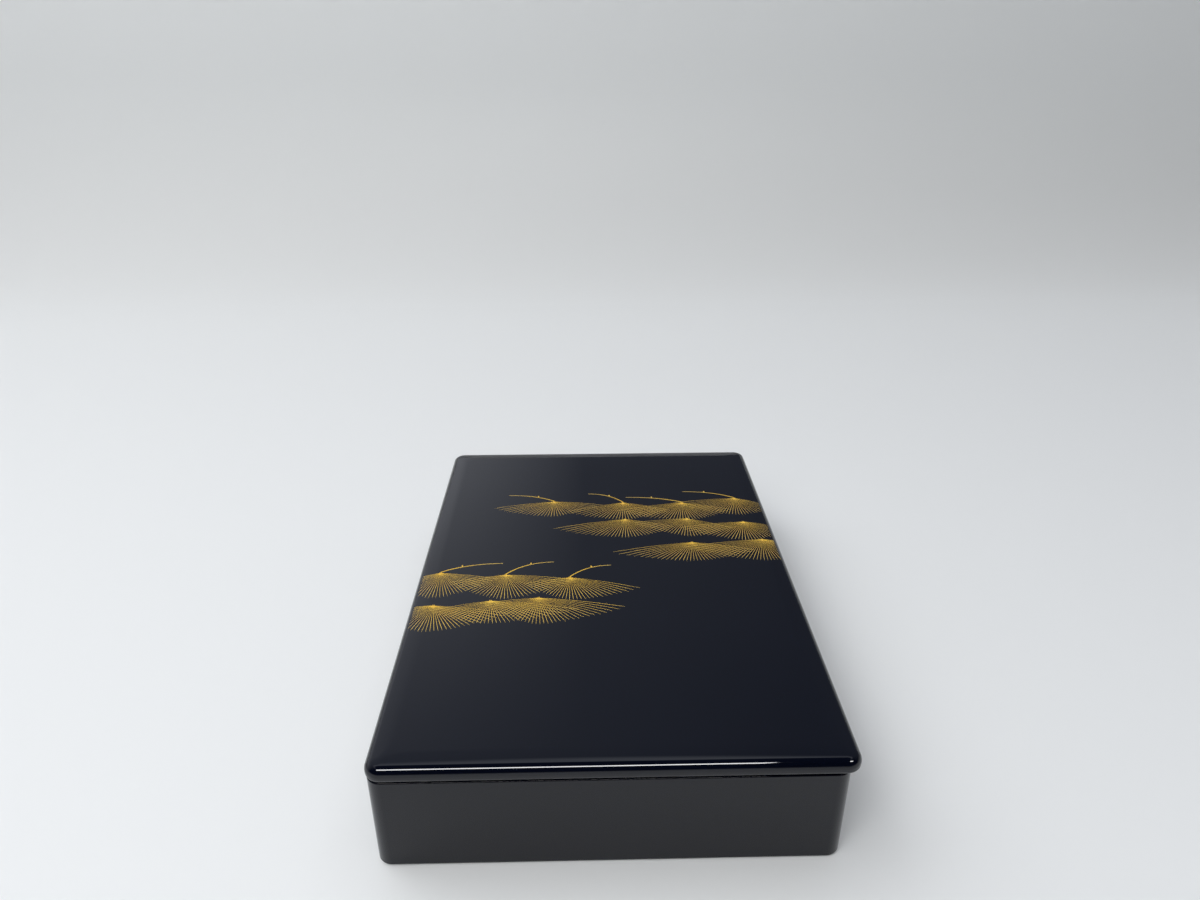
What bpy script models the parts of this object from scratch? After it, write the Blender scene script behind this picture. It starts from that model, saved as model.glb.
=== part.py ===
"""A lacquered letter box: an open wooden tray and a flat lid that lifts off it.

Metres, +Z up. The box stands on z = 0, its long sides run along Y and its front faces -Y. The origin is
under the middle of the lid. The lid has no hinge: its seat lies on the mouth of the box, a low rim below it
drops inside the walls, and a narrow shadow groove runs all round between its edge and the box.
"""

import math
from collections import namedtuple

import bmesh
import bpy

# Box
BOX_WIDTH = 0.251
BOX_LENGTH = 0.3586
BOX_HEIGHT = 0.0602
BOX_CORNER = 0.0085  # radius of the upright corners
WALL = 0.0055
FLOOR = 0.005
FOOT_ROUND = 0.0015  # along the bottom edge
MOUTH_ROUND = 0.0008  # along both edges of the mouth
FLOOR_FILLET = 0.0022  # where the walls meet the floor inside

# Lid
LID_THICKNESS = 0.009  # of its edge
LID_OVERHANG = 0.002  # past the box on every side, with the lid centred
LID_CORNER_EXTRA = 0.0005  # plan radius beyond that of the box's corners
LID_TOP_ROUND = 0.005
LID_FOOT_ROUND = 0.0023
GROOVE = 0.0017  # height of the shadow groove below the lid's edge
SEAT_INSET = 0.0043  # from the lid's outline to the seat that makes the groove
SHOULDER_TILT = math.radians(7)  # slope of the top where it meets the edge's round
SHOULDER_WIDTH = 0.0095  # from there to the flat field on top
FIELD_CORNER = 0.012  # plan radius of the flat field's corners
PLATE = 0.0055  # thickness of the lid inside its rim
RECESS_FILLET = 0.0012

# Rim under the lid
RIM_THICKNESS = 0.0035
RIM_DEPTH = 0.005
RIM_ROUND = 0.0006
RIM_PLAY = 0.0023  # between the rim and the box's walls, with the lid centred

# Fits and finish
TOUCH_GAP = 0.0003  # between faces that touch
LEAST_CORNER = 0.0008  # smallest plan radius of an inner corner
CORNER_STEPS = 8
SHOULDER_STEPS = 4
ROUND_STEPS = 5
SMALL_ROUND_STEPS = 3
SHARP_ANGLE = math.radians(40)
LACQUER = (0.009, 0.010, 0.013, 1.0)
LACQUER_ROUGHNESS = 0.06

# The lid lies pushed to the right, until its rim all but touches the box's wall.
LID_SHIFT = RIM_PLAY - TOUCH_GAP

# One line round the solid: how far inside the outline, how high, and the plan radius of its corners.
Ring = namedtuple("Ring", "inset height corner")


def outline(width, length, ring):
    """The points of one ring, anticlockwise from above."""
    x_reach = width / 2 - ring.inset - ring.corner
    y_reach = length / 2 - ring.inset - ring.corner
    quarter_turn = math.radians(90)
    points = []
    for quarter, (x_side, y_side) in enumerate(((1, 1), (-1, 1), (-1, -1), (1, -1))):
        for step in range(CORNER_STEPS + 1):
            angle = quarter_turn * (quarter + step / CORNER_STEPS)
            x = x_side * x_reach + ring.corner * math.cos(angle)
            y = y_side * y_reach + ring.corner * math.sin(angle)
            points.append((x, y, ring.height))
    return points


def arc(centre, radius, start, end, steps, corner_at):
    """Rings along an arc of the section. 0 degrees faces out of the solid's outline, and 90 faces up."""
    rings = []
    for step in range(steps + 1):
        angle = math.radians(start + (end - start) * step / steps)
        inset = centre[0] - radius * math.cos(angle)
        height = centre[1] + radius * math.sin(angle)
        rings.append(Ring(inset, height, corner_at(inset)))
    return rings


def corners_inside(corner, start=0.0):
    """The plan radius at any inset, where it is corner at the inset called start."""
    return lambda inset: max(corner - (inset - start), LEAST_CORNER)


def solid_through(name, rings, width, length, material):
    """One closed object: its surface runs through the rings in order, and the first and last are filled."""
    mesh = bmesh.new()
    loops = [[mesh.verts.new(point) for point in outline(width, length, ring)] for ring in rings]
    for loop, following in zip(loops, loops[1:]):
        for index in range(len(loop)):
            mesh.faces.new((loop[index - 1], loop[index], following[index], following[index - 1]))
    mesh.faces.new(loops[0])
    mesh.faces.new(loops[-1])
    bmesh.ops.recalc_face_normals(mesh, faces=mesh.faces)
    data = bpy.data.meshes.new(name)
    mesh.to_mesh(data)
    mesh.free()
    data.shade_smooth()
    data.set_sharp_from_angle(angle=SHARP_ANGLE)
    data.materials.append(material)
    made = bpy.data.objects.new(name, data)
    bpy.context.collection.objects.link(made)
    return made


def lacquer(name):
    material = bpy.data.materials.new(name)
    material.use_nodes = True
    shader = material.node_tree.nodes["Principled BSDF"]
    shader.inputs["Base Color"].default_value = LACQUER
    shader.inputs["Roughness"].default_value = LACQUER_ROUGHNESS
    shader.inputs["Metallic"].default_value = 0.0
    return material


def box_rings():
    """From the underside up the outer wall, over the mouth and down to the floor inside."""
    outer = corners_inside(BOX_CORNER)
    foot = (FOOT_ROUND, FOOT_ROUND)
    mouth_height = BOX_HEIGHT - MOUTH_ROUND
    outer_lip = (MOUTH_ROUND, mouth_height)
    inner_lip = (WALL - MOUTH_ROUND, mouth_height)
    fillet = (WALL + FLOOR_FILLET, FLOOR + FLOOR_FILLET)
    return (
        arc(foot, FOOT_ROUND, -90, 0, SMALL_ROUND_STEPS, outer)
        + arc(outer_lip, MOUTH_ROUND, 0, 90, SMALL_ROUND_STEPS, outer)
        + arc(inner_lip, MOUTH_ROUND, 90, 180, SMALL_ROUND_STEPS, outer)
        + arc(fillet, FLOOR_FILLET, 0, -90, SMALL_ROUND_STEPS, outer)
    )


def lid_top_rings():
    """From the flat field on top, down the shoulder and round the edge to its underside. The seat is z = 0."""
    drop = math.tan(SHOULDER_TILT) * SHOULDER_WIDTH / 2
    edge_height = GROOVE + LID_THICKNESS - drop
    top_round = min(LID_TOP_ROUND, (LID_THICKNESS - drop - LID_FOOT_ROUND) / math.cos(SHOULDER_TILT))
    edge_inset = top_round * (1 - math.sin(SHOULDER_TILT))
    round_centre = (top_round, edge_height - top_round * math.cos(SHOULDER_TILT))
    foot_centre = (LID_FOOT_ROUND, GROOVE + LID_FOOT_ROUND)
    outer = corners_inside(BOX_CORNER + LID_CORNER_EXTRA)
    edge_corner = outer(edge_inset)
    widening = (FIELD_CORNER - edge_corner + SHOULDER_WIDTH) / SHOULDER_WIDTH**2
    rings = []
    for step in range(SHOULDER_STEPS):
        from_edge = SHOULDER_WIDTH * (1 - step / SHOULDER_STEPS)
        height = edge_height + drop * (1 - (1 - from_edge / SHOULDER_WIDTH) ** 2)
        corner = edge_corner - from_edge + widening * from_edge**2
        rings.append(Ring(edge_inset + from_edge, height, max(corner, LEAST_CORNER)))
    top_angle = 90 - math.degrees(SHOULDER_TILT)
    rings += arc(round_centre, top_round, top_angle, 0, ROUND_STEPS, outer)
    rings += arc(foot_centre, LID_FOOT_ROUND, 0, -90, ROUND_STEPS, outer)
    return rings


def lid_rim_rings():
    """From the edge's underside in to the seat, down the rim, under it and up to the recess inside."""
    rim_outside = LID_OVERHANG + WALL + RIM_PLAY
    rim_inside = rim_outside + RIM_THICKNESS
    recess_height = GROOVE + LID_THICKNESS - PLATE
    seat_corner = BOX_CORNER + LID_CORNER_EXTRA - SEAT_INSET
    rim_corner = max(BOX_CORNER - WALL, LEAST_CORNER)
    corner_at = corners_inside(rim_corner, start=rim_outside)
    round_height = RIM_ROUND - RIM_DEPTH
    outer_round = (rim_outside + RIM_ROUND, round_height)
    inner_round = (rim_inside - RIM_ROUND, round_height)
    fillet = (rim_inside + RECESS_FILLET, recess_height - RECESS_FILLET)
    return (
        [Ring(SEAT_INSET, GROOVE, seat_corner)]
        + [Ring(SEAT_INSET, 0.0, seat_corner)]
        + [Ring(rim_outside, 0.0, rim_corner)]
        + arc(outer_round, RIM_ROUND, 0, -90, SMALL_ROUND_STEPS, corner_at)
        + arc(inner_round, RIM_ROUND, -90, -180, SMALL_ROUND_STEPS, corner_at)
        + arc(fillet, RECESS_FILLET, 0, 90, SMALL_ROUND_STEPS, corner_at)
    )


def make_box():
    box = solid_through("box", box_rings(), BOX_WIDTH, BOX_LENGTH, lacquer("box lacquer"))
    box.location = (-LID_SHIFT, 0.0, 0.0)


def make_lid():
    width = BOX_WIDTH + 2 * LID_OVERHANG
    length = BOX_LENGTH + 2 * LID_OVERHANG
    lid = solid_through("lid", lid_top_rings() + lid_rim_rings(), width, length, lacquer("lid lacquer"))
    lid.location = (0.0, 0.0, BOX_HEIGHT + TOUCH_GAP)


def main():
    for leftover in list(bpy.data.objects):
        bpy.data.objects.remove(leftover)
    make_box()
    make_lid()


main()
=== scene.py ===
"""The lacquer letter box as it looks: black mirror lacquer, satin inside, and gold pine branches in the lid.

Metres, +Z up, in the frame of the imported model: the box stands on z = 0 with its front towards -Y.
"""

import math
import random
from collections import namedtuple

import bmesh
import bpy
from mathutils import Matrix, Vector
from numpy import interp


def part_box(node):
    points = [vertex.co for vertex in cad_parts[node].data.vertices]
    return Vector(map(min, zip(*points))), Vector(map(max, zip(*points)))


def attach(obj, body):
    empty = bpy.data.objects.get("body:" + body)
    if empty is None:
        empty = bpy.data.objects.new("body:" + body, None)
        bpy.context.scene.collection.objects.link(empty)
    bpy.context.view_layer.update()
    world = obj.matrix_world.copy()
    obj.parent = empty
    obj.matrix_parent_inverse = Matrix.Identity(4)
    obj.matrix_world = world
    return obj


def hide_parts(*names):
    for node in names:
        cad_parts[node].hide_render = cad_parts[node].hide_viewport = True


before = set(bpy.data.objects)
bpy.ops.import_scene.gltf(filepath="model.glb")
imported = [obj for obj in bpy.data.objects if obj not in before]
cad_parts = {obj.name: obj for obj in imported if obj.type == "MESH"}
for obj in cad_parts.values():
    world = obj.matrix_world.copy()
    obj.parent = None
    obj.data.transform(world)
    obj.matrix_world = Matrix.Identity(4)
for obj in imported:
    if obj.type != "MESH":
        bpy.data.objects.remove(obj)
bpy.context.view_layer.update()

MM = 0.001

# Box
BOX_LOW, BOX_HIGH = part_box("box")
BOX_CORNER = 8.5 * MM
WALL = 5.5 * MM
FLOOR = 5 * MM
FOOT_ROUND = 1.5 * MM
MOUTH_ROUND = 0.8 * MM
FLOOR_FILLET = 2.2 * MM

# Lid and the rim under it
LID_LOW, LID_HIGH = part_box("lid")
RIM_DEPTH = 5 * MM
LID_SEAT = LID_LOW.z + RIM_DEPTH
GROOVE = 1.7 * MM
SEAT_INSET = 4.3 * MM
LID_CORNER = 9 * MM
LID_TOP_ROUND = 5 * MM
LID_FOOT_ROUND = 2.3 * MM
SHOULDER_TILT = math.radians(7)
SHOULDER_WIDTH = 9.5 * MM
FIELD_CORNER = 12 * MM
PLATE = 5.5 * MM
RECESS_FILLET = 1.2 * MM
RIM_INSET = 9.8 * MM
RIM_THICKNESS = 3.5 * MM
RIM_CORNER = 3 * MM
RIM_ROUND = 0.6 * MM

# How finely the lacquered surfaces are drawn
LEAST_CORNER = 0.8 * MM
CORNER_STEPS = 24
SHOULDER_STEPS = 10
EDGE_STEPS = 18
SMALL_STEPS = 6

# Gold lines, in millimetres on the lid, from its middle
NEEDLE_SPACING = 2.5
NEEDLE_SPREAD = 0.9
NEEDLE_WIDTH = 0.5
NEEDLE_STEPS = (0.0, 0.2, 0.45, 0.7, 0.92, 1.0)
NEEDLE_FULLNESS = (0.42, 0.6, 0.82, 0.94, 0.9, 0.4)
NEEDLE_ARCH = 0.022
NEEDLE_LENGTH_CHANCE = 0.015
NEEDLE_WIDTH_CHANCE = (0.85, 1.1)
FAN_FULLNESS = 1.2
FAN_EDGE_SAMPLES = 300
TWIG_STEPS = 14
BUD_STEPS = (0.0, 0.15, 0.4, 0.65, 0.88, 1.0)
BUD_FULLNESS = (0.35, 0.8, 1.0, 0.95, 0.6, 0.3)
APEX_BUDS = ((-0.4, -0.6, 3.2, 1.0), (0.5, -0.3, 2.6, 0.8))
TWIG_BUD = (1.9, 1.4)
NEEDLE_RISE = 0.03
TWIG_RISE = 0.045
BUD_RISE = 0.06
LINE_SINK = 0.02
LINE_DEPTH = 0.15
EDGE_MARGIN = 3.2

# Where a gold line has a stop, as shares of the lid's shoulder and of its round edge
SHOULDER_STOPS = (0.0, 0.25, 0.5, 0.75, 1.0)
ROUND_STOP = 0.8

# The lacquer lies as far below the lid's box as the highest gold stands above the lacquer.
LACQUER_TOP = LID_HIGH.z - BUD_RISE * MM

# Where the satin finish begins, past the edges that hide it
SATIN_MARGIN = 0.2 * MM

# How strongly the two lacquers mirror, and how metallic the gold is
BOX_REFRACTION = 1.42
LID_REFRACTION = 1.46
GOLD_METALLIC = 0.42

Ring = namedtuple("Ring", "inset height corner")
Fan = namedtuple("Fan", "apex left right bottom")
Twig = namedtuple("Twig", "start bend end width tip_width")
Row = namedtuple("Row", "left right height fans")

# The two branches, laid out by rule: rows of fans, and twigs above the first row
FAR_ROWS = (Row(-35, 110, 90, 4), Row(15, 105, 58, 3), Row(60, 112, 26, 2))
NEAR_ROWS = (Row(-110, -20, -12, 3), Row(-108, -40, -42, 3))
PLACE_CHANCE = (-5, 5)
FAN_REACH = (30, 46)
FAN_REACH_INWARD = 1.3
FAN_DROOP = (4, 13)
FAN_DEPTH = (23, 29)
TWIG_LENGTH = (26, 44)
TWIG_LIFT = (9, 16)
TWIG_FOOT = 1
TWIG_BEND = 0.4
TWIG_WIDTHS = (1.2, 0.6)
TWIG_BUD_PLACE = (0.35, 0.65)
TWIG_BUD_LIFT = 1.3

# Studio, in metres
FLOOR_FRONT = -6.0
FLOOR_HALF_WIDTH = 5.0
FLOOR_COLOUR = (0.785, 0.80, 0.803)
SWEEP_START = 0.9
SWEEP_RADIUS = 0.35
SWEEP_STEPS = 24
BACKDROP_TOP = 0.52
TUBE_FORWARD = -1.0
TUBE_HEIGHT = 1.6
TUBE_WIDTH = 0.36
PANEL = (1.6, 1.6)

# Camera: its place in metres, its angles in degrees
CAMERA_PLACE = (-0.01411, -0.49100, 0.39680)
CAMERA_TURN = -1.263
CAMERA_LOOK_DOWN = 25.76
CAMERA_ROLL = -0.087
SENSOR_WIDTH = 36.0
LENS = 25.21


def outline(width, length, ring, steps):
    """The points of one ring, anticlockwise from above."""
    x_reach = width / 2 - ring.inset - ring.corner
    y_reach = length / 2 - ring.inset - ring.corner
    quarter_turn = math.radians(90)
    points = []
    for quarter, (x_side, y_side) in enumerate(((1, 1), (-1, 1), (-1, -1), (1, -1))):
        for step in range(steps + 1):
            angle = quarter_turn * (quarter + step / steps)
            x = x_side * x_reach + ring.corner * math.cos(angle)
            y = y_side * y_reach + ring.corner * math.sin(angle)
            points.append(Vector((x, y, ring.height)))
    return points


def arc(centre, radius, start, end, steps, corner_at):
    """Rings along an arc of the section. 0 degrees faces out of the outline, and 90 faces up."""
    rings = []
    for step in range(steps + 1):
        angle = math.radians(start + (end - start) * step / steps)
        inset = centre[0] - radius * math.cos(angle)
        height = centre[1] + radius * math.sin(angle)
        rings.append(Ring(inset, height, corner_at(inset)))
    return rings


def corners_inside(corner, start=0.0):
    """The plan radius at any inset, where it is corner at the inset called start."""
    return lambda inset: max(corner - (inset - start), LEAST_CORNER)


def new_piece(name, mesh, material):
    """The mesh as a piece on the one body, with its material and its finish's slot."""
    data = bpy.data.meshes.new(name)
    mesh.to_mesh(data)
    mesh.free()
    data.materials.append(material)
    piece = bpy.data.objects.new(name, data)
    bpy.context.collection.objects.link(piece)
    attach(piece, "root")
    return piece


def surface_through(name, rings, low, high, material):
    """A closed skin through the rings, centred between low and high, with its flat faces kept flat."""
    middle = (low + high) / 2
    mesh = bmesh.new()
    loops = []
    for ring in rings:
        points = outline(high.x - low.x, high.y - low.y, ring, CORNER_STEPS)
        loops.append([mesh.verts.new(point + Vector((middle.x, middle.y, 0))) for point in points])
    for loop, following in zip(loops, loops[1:]):
        for index in range(len(loop)):
            mesh.faces.new((loop[index - 1], loop[index], following[index], following[index - 1]))
    mesh.faces.new(loops[0])
    mesh.faces.new(loops[-1])
    bmesh.ops.recalc_face_normals(mesh, faces=mesh.faces)
    piece = new_piece(name, mesh, material)
    piece.data.shade_smooth()
    even = piece.modifiers.new("true flat faces", "WEIGHTED_NORMAL")
    even.mode = "FACE_AREA"
    even.weight = 100
    return piece


def box_rings():
    """From the underside up the outer wall, over the mouth and down to the floor inside."""
    outer = corners_inside(BOX_CORNER)
    foot = (FOOT_ROUND, BOX_LOW.z + FOOT_ROUND)
    mouth_height = BOX_HIGH.z - MOUTH_ROUND
    fillet = (WALL + FLOOR_FILLET, BOX_LOW.z + FLOOR + FLOOR_FILLET)
    return (
        arc(foot, FOOT_ROUND, -90, 0, SMALL_STEPS, outer)
        + arc((MOUTH_ROUND, mouth_height), MOUTH_ROUND, 0, 90, SMALL_STEPS, outer)
        + arc((WALL - MOUTH_ROUND, mouth_height), MOUTH_ROUND, 90, 180, SMALL_STEPS, outer)
        + arc(fillet, FLOOR_FILLET, 0, -90, SMALL_STEPS, outer)
    )


class LidProfile:
    """The lid's section from its flat field out over the shoulder to the round edge."""

    drop = math.tan(SHOULDER_TILT) * SHOULDER_WIDTH / 2
    edge_height = LACQUER_TOP - drop
    edge_inset = LID_TOP_ROUND * (1 - math.sin(SHOULDER_TILT))
    round_height = edge_height - LID_TOP_ROUND * math.cos(SHOULDER_TILT)
    field_inset = edge_inset + SHOULDER_WIDTH

    @classmethod
    def shoulder_height(cls, from_edge):
        return cls.edge_height + cls.drop * (1 - (1 - from_edge / SHOULDER_WIDTH) ** 2)

    @classmethod
    def at(cls, inset):
        """Height and outward tilt of the top surface at an inset from the lid's outline."""
        if inset >= cls.field_inset:
            return LACQUER_TOP, 0.0
        if inset >= cls.edge_inset:
            from_edge = inset - cls.edge_inset
            slope = 2 * cls.drop / SHOULDER_WIDTH * (1 - from_edge / SHOULDER_WIDTH)
            return cls.shoulder_height(from_edge), math.atan(slope)
        tilt = math.asin(1 - inset / LID_TOP_ROUND)
        return cls.round_height + LID_TOP_ROUND * math.cos(tilt), tilt


def lid_rings():
    """From the flat field over the shoulder and the edge to the seat, the rim and the recess inside."""
    profile = LidProfile
    outer = corners_inside(LID_CORNER)
    edge_corner = outer(profile.edge_inset)
    widening = (FIELD_CORNER - edge_corner + SHOULDER_WIDTH) / SHOULDER_WIDTH**2
    rings = []
    for step in range(SHOULDER_STEPS):
        from_edge = SHOULDER_WIDTH * (1 - step / SHOULDER_STEPS)
        corner = edge_corner - from_edge + widening * from_edge**2
        rings.append(Ring(profile.edge_inset + from_edge, profile.shoulder_height(from_edge), corner))
    top_angle = 90 - math.degrees(SHOULDER_TILT)
    rings += arc((LID_TOP_ROUND, profile.round_height), LID_TOP_ROUND, top_angle, 0, EDGE_STEPS, outer)
    underside = LID_SEAT + GROOVE
    foot = (LID_FOOT_ROUND, underside + LID_FOOT_ROUND)
    rings += arc(foot, LID_FOOT_ROUND, 0, -90, EDGE_STEPS, outer)
    rim_inside = RIM_INSET + RIM_THICKNESS
    corner_at = corners_inside(RIM_CORNER, start=RIM_INSET)
    round_height = LID_LOW.z + RIM_ROUND
    recess = (rim_inside + RECESS_FILLET, LID_HIGH.z - PLATE - RECESS_FILLET)
    rings.append(Ring(SEAT_INSET, underside, LID_CORNER - SEAT_INSET))
    rings.append(Ring(SEAT_INSET, LID_SEAT, LID_CORNER - SEAT_INSET))
    rings.append(Ring(RIM_INSET, LID_SEAT, RIM_CORNER))
    rings += arc((RIM_INSET + RIM_ROUND, round_height), RIM_ROUND, 0, -90, SMALL_STEPS, corner_at)
    rings += arc((rim_inside - RIM_ROUND, round_height), RIM_ROUND, -90, -180, SMALL_STEPS, corner_at)
    rings += arc(recess, RECESS_FILLET, 0, 90, SMALL_STEPS, corner_at)
    return rings


def on_lid(x, y):
    """The point of the lid's top at x, y in millimetres from its middle, and its normal there."""
    half_width = (LID_HIGH.x - LID_LOW.x) / 2
    height, tilt = LidProfile.at(half_width - abs(x) * MM)
    side = math.copysign(1.0, x)
    return Vector((x * MM, y * MM, height)), Vector((side * math.sin(tilt), 0, math.cos(tilt)))


def add_stroke(mesh, reach_layer, points, widths, rise):
    """A closed gold line through the points, a low ridge with its edges just below the lacquer."""
    loops = []
    last = len(points) - 1
    for index, (x, y) in enumerate(points):
        ahead = points[min(index + 1, last)]
        behind = points[max(index - 1, 0)]
        along = Vector((ahead[0] - behind[0], ahead[1] - behind[1], 0)).normalized()
        place, normal = on_lid(x, y)
        across = normal.cross(along).normalized() * (widths[index] / 2 * MM)
        ring = [
            mesh.verts.new(place + across - normal * LINE_SINK * MM),
            mesh.verts.new(place + normal * rise * MM),
            mesh.verts.new(place - across - normal * LINE_SINK * MM),
            mesh.verts.new(place - normal * LINE_DEPTH * MM),
        ]
        for vertex in ring:
            vertex[reach_layer] = index / last
        loops.append(ring)
    for loop, following in zip(loops, loops[1:]):
        for index in range(len(loop)):
            mesh.faces.new((loop[index - 1], loop[index], following[index], following[index - 1]))
    mesh.faces.new(loops[0])
    mesh.faces.new(loops[-1])


def row_of_fans(row, inward, chance):
    """Fans at even distances with a little chance, reaching further towards the lid's middle."""
    fans = []
    for number in range(row.fans):
        x = row.left + (row.right - row.left) * number / (row.fans - 1) + chance.uniform(*PLACE_CHANCE)
        y = row.height + chance.uniform(*PLACE_CHANCE)
        ends = []
        for side in (-1, 1):
            reach = chance.uniform(*FAN_REACH) * (FAN_REACH_INWARD if side == inward else 1)
            ends.append((x + side * reach, y - chance.uniform(*FAN_DROOP)))
        fans.append(Fan((x, y), ends[0], ends[1], (x, y - chance.uniform(*FAN_DEPTH))))
    return fans


def twig_above(fan, inward, chance):
    """A bent twig that rises from a fan's point and runs on towards the lid's middle."""
    x, y = fan.apex
    length = inward * chance.uniform(*TWIG_LENGTH)
    lift = chance.uniform(*TWIG_LIFT)
    bend = (x + TWIG_BEND * length, y + lift)
    return Twig((x, y + TWIG_FOOT), bend, (x + length, y + lift), *TWIG_WIDTHS)


def fan_edge(fan, end):
    """The fan's rounded lower edge, from the tip of its outermost needle on one side to its lowest point."""
    apex, end, bottom = Vector(fan.apex), Vector(end), Vector(fan.bottom)
    curve = []
    for sample in range(FAN_EDGE_SAMPLES + 1):
        turn = math.radians(90) * sample / FAN_EDGE_SAMPLES
        outward = math.cos(turn) ** (2 / FAN_FULLNESS)
        downward = math.sin(turn) ** (2 / FAN_FULLNESS)
        curve.append(apex + (end - apex) * outward + (bottom - apex) * downward)
    return curve


def fan_tips(fan):
    """Needle tips along the lower edge, further apart where the needles are longer."""
    apex = Vector(fan.apex)
    shortest = (Vector(fan.bottom) - apex).length
    curve = fan_edge(fan, fan.left) + fan_edge(fan, fan.right)[-2::-1]
    tips = [curve[0]]
    travelled = 0.0
    for point, following in zip(curve, curve[1:]):
        spread = ((following - apex).length / shortest) ** NEEDLE_SPREAD
        travelled += (following - point).length / spread
        if travelled >= NEEDLE_SPACING:
            tips.append(following)
            travelled = 0.0
    return tips


def shoulder_crossings():
    """Distances from the lid's middle, in millimetres, at which its top bends on the way to its edge."""
    insets = [LidProfile.edge_inset + SHOULDER_WIDTH * stop for stop in SHOULDER_STOPS]
    insets.append(ROUND_STOP * LidProfile.edge_inset)
    return [((LID_HIGH.x - LID_LOW.x) / 2 - inset) / MM for inset in insets]


def share_on_lid(apex, needle, limit):
    """The part of a needle, as shares of its length, that lies inside the limit on both sides."""
    if not needle.x:
        return 0.0, 1.0
    enters, leaves = sorted(((-limit - apex.x) / needle.x, (limit - apex.x) / needle.x))
    return max(enters, 0.0), min(leaves, 1.0)


def needle_stops(apex, needle, start, end, crossings):
    """Where along a needle its line is drawn, with a stop at each bend of the lid's top."""
    stops = {start + step * (end - start) for step in NEEDLE_STEPS}
    for crossing in crossings:
        for side in (-1, 1):
            stop = (side * crossing - apex.x) / needle.x if needle.x else 0.0
            if start < stop < end:
                stops.add(stop)
    return sorted(stops)


def add_fan(mesh, reach_layer, fan, chance):
    """Needles from one apex, each arched a little upwards, stopped short of the lid's edge."""
    apex = Vector(fan.apex)
    limit = (LID_HIGH.x - LID_LOW.x) / 2 / MM - EDGE_MARGIN
    crossings = shoulder_crossings()
    for tip in fan_tips(fan):
        needle = (tip - apex) * (1 + chance.uniform(-NEEDLE_LENGTH_CHANCE, NEEDLE_LENGTH_CHANCE))
        start, end = share_on_lid(apex, needle, limit)
        if start >= end:
            continue
        arch = NEEDLE_ARCH * abs(needle.x)
        width = NEEDLE_WIDTH * chance.uniform(*NEEDLE_WIDTH_CHANCE)
        points = []
        widths = []
        for stop in needle_stops(apex, needle, start, end, crossings):
            place = apex + needle * stop + Vector((0, arch * 4 * stop * (1 - stop)))
            points.append(tuple(place))
            widths.append(width * interp((stop - start) / (end - start), NEEDLE_STEPS, NEEDLE_FULLNESS))
        add_stroke(mesh, reach_layer, points, widths, NEEDLE_RISE)


def along_twig(twig, share):
    """The point of a twig's curve at a share of its way."""
    return tuple(
        (1 - share) ** 2 * start + 2 * share * (1 - share) * bend + share**2 * end
        for start, bend, end in zip(twig.start, twig.bend, twig.end)
    )


def add_twig(mesh, reach_layer, twig):
    points = []
    widths = []
    for step in range(TWIG_STEPS + 1):
        share = step / TWIG_STEPS
        points.append(along_twig(twig, share))
        widths.append(twig.width + (twig.tip_width - twig.width) * share)
    add_stroke(mesh, reach_layer, points, widths, TWIG_RISE)


def add_bud(mesh, reach_layer, x, y, length, width):
    """A low pointed swelling, drawn as one short line with a full middle."""
    points = [(x, y - length * (step - 0.5)) for step in BUD_STEPS]
    widths = [width * fullness for fullness in BUD_FULLNESS]
    add_stroke(mesh, reach_layer, points, widths, BUD_RISE)


def pine_spray(name, rows, inward, material, seed):
    """One branch. inward is -1 where the lid's middle lies to its left, and 1 to its right."""
    chance = random.Random(seed)
    layers = [row_of_fans(row, inward, chance) for row in rows]
    fans = [fan for layer in layers for fan in layer]
    twigs = [twig_above(fan, inward, chance) for fan in layers[0]]
    buds = [along_twig(twig, chance.uniform(*TWIG_BUD_PLACE)) for twig in twigs]
    mesh = bmesh.new()
    reach_layer = mesh.verts.layers.float.new("reach")
    for fan in fans:
        add_fan(mesh, reach_layer, fan, chance)
        x, y = fan.apex
        for aside, up, length, width in APEX_BUDS:
            add_bud(mesh, reach_layer, x + aside, y + up, length, width)
    for twig in twigs:
        add_twig(mesh, reach_layer, twig)
    for x, y in buds:
        add_bud(mesh, reach_layer, x, y + TWIG_BUD_LIFT, *TWIG_BUD)
    bmesh.ops.recalc_face_normals(mesh, faces=mesh.faces)
    return new_piece(name, mesh, material)


class Value:
    """One number inside a material, so that shader maths reads as sums and products."""

    def __init__(self, sheet, socket):
        self.sheet = sheet
        self.socket = socket

    def combine(self, operation, *others):
        return self.sheet.add("ShaderNodeMath", {"operation": operation}, dict(enumerate(others)))

    def __add__(self, other):
        return self.combine("ADD", self, other)

    def __radd__(self, other):
        return self.combine("ADD", other, self)

    def __sub__(self, other):
        return self.combine("SUBTRACT", self, other)

    def __rsub__(self, other):
        return self.combine("SUBTRACT", other, self)

    def __mul__(self, other):
        return self.combine("MULTIPLY", self, other)

    def __rmul__(self, other):
        return self.combine("MULTIPLY", other, self)

    def __lt__(self, other):
        return self.combine("LESS_THAN", self, other)

    def __gt__(self, other):
        return self.combine("GREATER_THAN", self, other)

    def __abs__(self):
        return self.combine("ABSOLUTE", self)


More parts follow.
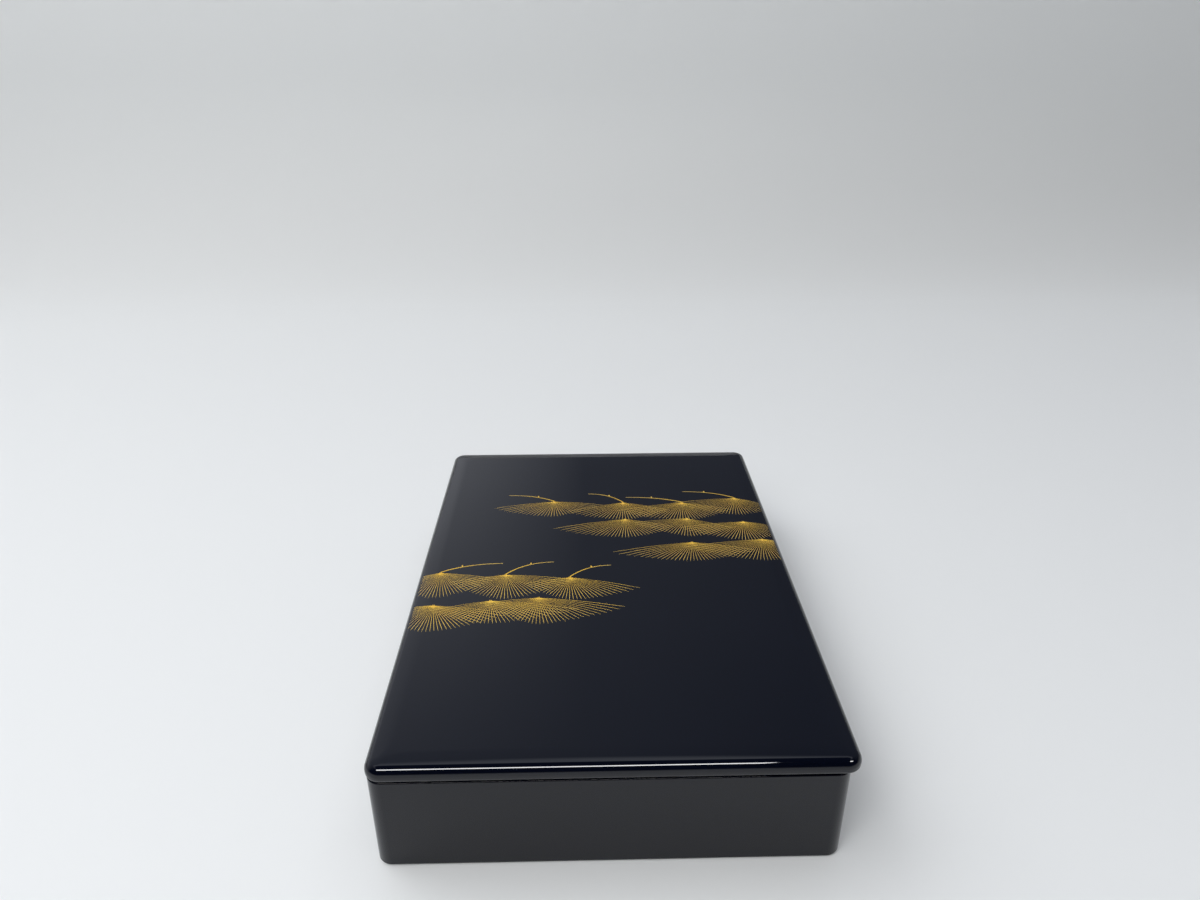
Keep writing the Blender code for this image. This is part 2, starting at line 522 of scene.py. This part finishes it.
class Finish:
    """The node tree of one material or of the world."""

    def __init__(self, owner):
        owner.use_nodes = True
        self.tree = owner.node_tree
        self.tree.nodes.clear()

    def add(self, kind, settings=None, sockets=None, output=0):
        """A node of one type, its settings first, then its sockets. Gives one of its outputs."""
        node = self.tree.nodes.new(kind)
        for name, setting in (settings or {}).items():
            setattr(node, name, setting)
        for key, value in (sockets or {}).items():
            if isinstance(value, Value):
                self.tree.links.new(value.socket, node.inputs[key])
            else:
                node.inputs[key].default_value = value
        return Value(self, node.outputs[output]) if node.outputs else None

    def place(self):
        """Object coordinates, in metres from the middle of the lid's footprint."""
        return self.add("ShaderNodeTexCoord", output="Object")

    def axes(self, vector):
        kind = "ShaderNodeSeparateXYZ"
        return [self.add(kind, sockets={0: vector}, output=axis) for axis in ("X", "Y", "Z")]

    def noise(self, place, scale, detail=2.0, roughness=0.5):
        sockets = {"Vector": place, "Scale": scale, "Detail": detail, "Roughness": roughness}
        return self.add("ShaderNodeTexNoise", sockets=sockets, output="Fac")

    def span(self, value, low, high):
        """value carried from low..high to 0..1, and held there."""
        return self.add("ShaderNodeMapRange", {"clamp": True}, {0: value, 1: low, 2: high})

    def blend(self, share, first, second):
        """A colour between two colours."""
        settings = {"data_type": "RGBA"}
        return self.add("ShaderNodeMix", settings, {0: share, 6: first, 7: second}, output=2)

    def stretch(self, vector, factors):
        return self.add("ShaderNodeVectorMath", {"operation": "MULTIPLY"}, {0: vector, 1: factors})

    def bump(self, height, distance):
        return self.add("ShaderNodeBump", sockets={"Height": height, "Distance": distance})

    def surface(self, sockets):
        shader = self.add("ShaderNodeBsdfPrincipled", sockets=sockets)
        self.add("ShaderNodeOutputMaterial", sockets={"Surface": shader})


def black_lacquer(name, unseen, refraction):
    """Black lacquer, polished to a mirror outside and brushed satin where unseen(x, y, z) is 1."""
    material = bpy.data.materials.new(name)
    finish = Finish(material)
    place = finish.place()
    cloud = finish.noise(place, 18.0, detail=3.0)
    swirl = finish.noise(place, 420.0, detail=4.0, roughness=0.7)
    wave = finish.noise(place, 26.0, detail=1.0)
    brushed = finish.noise(finish.stretch(place, (1.0, 0.06, 1.0)), 900.0, detail=2.0)
    satin = unseen(*finish.axes(place))
    polished = finish.blend(cloud, (0.0010, 0.0018, 0.0056, 1), (0.0014, 0.0023, 0.0070, 1))
    dull = finish.blend(cloud, (0.0040, 0.0042, 0.0048, 1), (0.0058, 0.0058, 0.0062, 1))
    roughness = 0.02 + 0.02 * cloud + 0.015 * swirl + satin * (0.20 + 0.12 * brushed + 0.06 * cloud)
    height = 0.000010 * wave + 0.0000002 * swirl + satin * 0.000003 * brushed
    finish.surface(
        {
            "Base Color": finish.blend(satin, polished, dull),
            "Roughness": roughness,
            "IOR": refraction,
            "Normal": finish.bump(height, 1.0),
        }
    )
    return material


def inside_box(x, y, z):
    """The walls and floor inside the box, and its underside."""
    middle = (BOX_LOW + BOX_HIGH) / 2
    between = (abs(x - middle.x) < BOX_HIGH.x - middle.x - WALL / 2) * (abs(y) < BOX_HIGH.y - WALL / 2)
    inside = between * (z < BOX_HIGH.z - MOUTH_ROUND) * (z > BOX_LOW.z + FLOOR / 2)
    return inside + (z < BOX_LOW.z + FOOT_ROUND / 4)


def under_lid(x, y, z):
    """The rim below the lid, and the recess and seat inside the groove."""
    reach = SATIN_MARGIN - SEAT_INSET
    between = (abs(x) < LID_HIGH.x + reach) * (abs(y) < LID_HIGH.y + reach)
    return between * (z < LID_HIGH.z - PLATE + SATIN_MARGIN)


def sunk_gold():
    """Gold leaf and powder rubbed into cut lines: rich at the foot of a needle, paler at its tip."""
    material = bpy.data.materials.new("sunk gold")
    finish = Finish(material)
    place = finish.place()
    reach = finish.add("ShaderNodeAttribute", {"attribute_name": "reach"}, output="Fac")
    patch = finish.noise(place, 120.0, detail=3.0)
    grain = finish.noise(place, 2600.0, detail=2.0)
    rich = finish.blend(patch, (0.94, 0.545, 0.045, 1), (0.99, 0.66, 0.08, 1))
    pale = finish.blend(patch, (0.85, 0.55, 0.11, 1), (0.93, 0.67, 0.19, 1))
    share = finish.span(reach, 0.35, 1.0)
    finish.surface(
        {
            "Base Color": finish.blend(share, rich, pale),
            "Metallic": GOLD_METALLIC,
            "Roughness": 0.36 + 0.16 * grain,
            "Normal": finish.bump(grain, 0.00002),
        }
    )
    return material


def plain(name, colour, roughness):
    material = bpy.data.materials.new(name)
    finish = Finish(material)
    finish.surface({"Base Color": (*colour, 1), "Roughness": roughness})
    return material


def make_box():
    lacquer = black_lacquer("box lacquer", inside_box, BOX_REFRACTION)
    piece = surface_through("lacquered_box", box_rings(), BOX_LOW, BOX_HIGH, lacquer)
    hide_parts("box")


def make_lid():
    lacquer = black_lacquer("lid lacquer", under_lid, LID_REFRACTION)
    piece = surface_through("lacquered_lid", lid_rings(), LID_LOW, LID_HIGH, lacquer)
    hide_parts("lid")


def make_branches():
    gold = sunk_gold()
    pine_spray("far_pine_branch", FAR_ROWS, -1, gold, 3)
    pine_spray("near_pine_branch", NEAR_ROWS, 1, gold, 8)


def make_floor():
    """A pale floor that sweeps up into a low backdrop."""
    section = [(FLOOR_FRONT, 0.0), (SWEEP_START, 0.0)]
    for step in range(1, SWEEP_STEPS + 1):
        angle = math.radians(90) * step / SWEEP_STEPS
        y = SWEEP_START + SWEEP_RADIUS * math.sin(angle)
        section.append((y, SWEEP_RADIUS * (1 - math.cos(angle))))
    section.append((SWEEP_START + SWEEP_RADIUS, BACKDROP_TOP))
    mesh = bmesh.new()
    pairs = []
    for y, z in section:
        left = mesh.verts.new((-FLOOR_HALF_WIDTH, y, z))
        pairs.append((left, mesh.verts.new((FLOOR_HALF_WIDTH, y, z))))
    for (left, right), (next_left, next_right) in zip(pairs, pairs[1:]):
        mesh.faces.new((left, right, next_right, next_left))
    data = bpy.data.meshes.new("floor")
    mesh.to_mesh(data)
    mesh.free()
    data.shade_smooth()
    data.materials.append(plain("pale floor", FLOOR_COLOUR, 0.6))
    floor = bpy.data.objects.new("floor", data)
    bpy.context.collection.objects.link(floor)


def make_world():
    """A soft studio: pale near the horizon, dim above, lighter to the left and darkest behind the camera."""
    world = bpy.data.worlds.new("studio")
    bpy.context.scene.world = world
    finish = Finish(world)
    direction = finish.add("ShaderNodeTexCoord", output="Generated")
    x, y, z = finish.axes(direction)
    forward = finish.span(y, -0.3, 0.3)
    wall = finish.blend(finish.span(x, -0.30, 0.25), (0.41, 0.44, 0.51, 1), (0.165, 0.18, 0.22, 1))
    wall = finish.blend(0.4 * finish.span(z, 0.60, 0.46), wall, (0.10, 0.107, 0.125, 1))
    window = finish.span(x, 0.0, -0.20) * finish.span(z, 0.74, 0.46)
    wall = finish.blend(window, wall, (0.86, 0.89, 0.96, 1))
    cornice = finish.span(z, 0.825, 0.85) * finish.span(z, 0.905, 0.885)
    wall = finish.blend(cornice, wall, (0.85, 0.90, 1.0, 1))
    wall = finish.blend(finish.span(z, 0.89, 0.92), wall, (0.03, 0.033, 0.04, 1))
    above = finish.blend(forward, (0.012, 0.013, 0.016, 1), wall)
    low = finish.span(z, 0.03 + 0.07 * forward, 0.14 + 0.20 * forward)
    sky = finish.blend(low, (0.66, 0.68, 0.70, 1), above)
    background = finish.add("ShaderNodeBackground", sockets={"Color": sky})
    finish.add("ShaderNodeOutputWorld", sockets={"Surface": background})


def place_light(name, data, place, target):
    light = bpy.data.objects.new(name, data)
    light.location = place
    light.rotation_euler = (Vector(target) - Vector(place)).to_track_quat("-Z", "Y").to_euler()
    bpy.context.collection.objects.link(light)
    return light


def panel_light(name, place, target, size, power):
    data = bpy.data.lights.new(name, "AREA")
    data.shape = "RECTANGLE"
    data.size, data.size_y = size
    data.energy = power
    return place_light(name, data, place, target)


def make_lights():
    """Tubes that show as a line on the lid's round edge, and soft light that shows on matt surfaces."""
    tubes = (("long tube", -0.2145, 1.31, 35.0), ("short tube", 1.235, 0.65, 17.5))
    for name, x, length, power in tubes:
        place = (x, TUBE_FORWARD, TUBE_HEIGHT)
        tube = panel_light(name, place, (x, TUBE_FORWARD, 0.0), (length, TUBE_WIDTH), power)
        tube.visible_diffuse = False
    daylight = bpy.data.lights.new("daylight", "SUN")
    daylight.angle = math.radians(80)
    daylight.energy = 1.1
    soft_lights = (
        panel_light("soft fill", (-1.4, 0.3, 1.8), (0.0, 0.1, 0.0), PANEL, 12.0),
        panel_light("front fill", (-0.8, -1.45, 1.8), (-0.1, -0.1, 0.0), PANEL, 27.0),
        place_light("daylight", daylight, (-0.15, 0.05, 1.0), (0.0, 0.0, 0.0)),
    )
    for light in soft_lights:
        light.visible_glossy = False


def make_camera():
    """The photograph's viewing angle: a little left of the middle, looking down on the front edge."""
    data = bpy.data.cameras.new("camera")
    data.sensor_width = SENSOR_WIDTH
    data.lens = LENS
    camera = bpy.data.objects.new("camera", data)
    camera.location = CAMERA_PLACE
    turn = Matrix.Rotation(math.radians(CAMERA_TURN), 3, "Z")
    tilt = Matrix.Rotation(math.radians(90 - CAMERA_LOOK_DOWN), 3, "X")
    roll = Matrix.Rotation(math.radians(CAMERA_ROLL), 3, "Z")
    camera.rotation_euler = (turn @ tilt @ roll).to_euler()
    bpy.context.collection.objects.link(camera)
    bpy.context.scene.camera = camera
    bpy.context.scene.view_settings.view_transform = "Standard"
    bpy.context.scene.cycles.denoising_prefilter = "NONE"


make_camera()
make_box()
make_lid()
make_branches()
make_floor()
make_world()
make_lights()
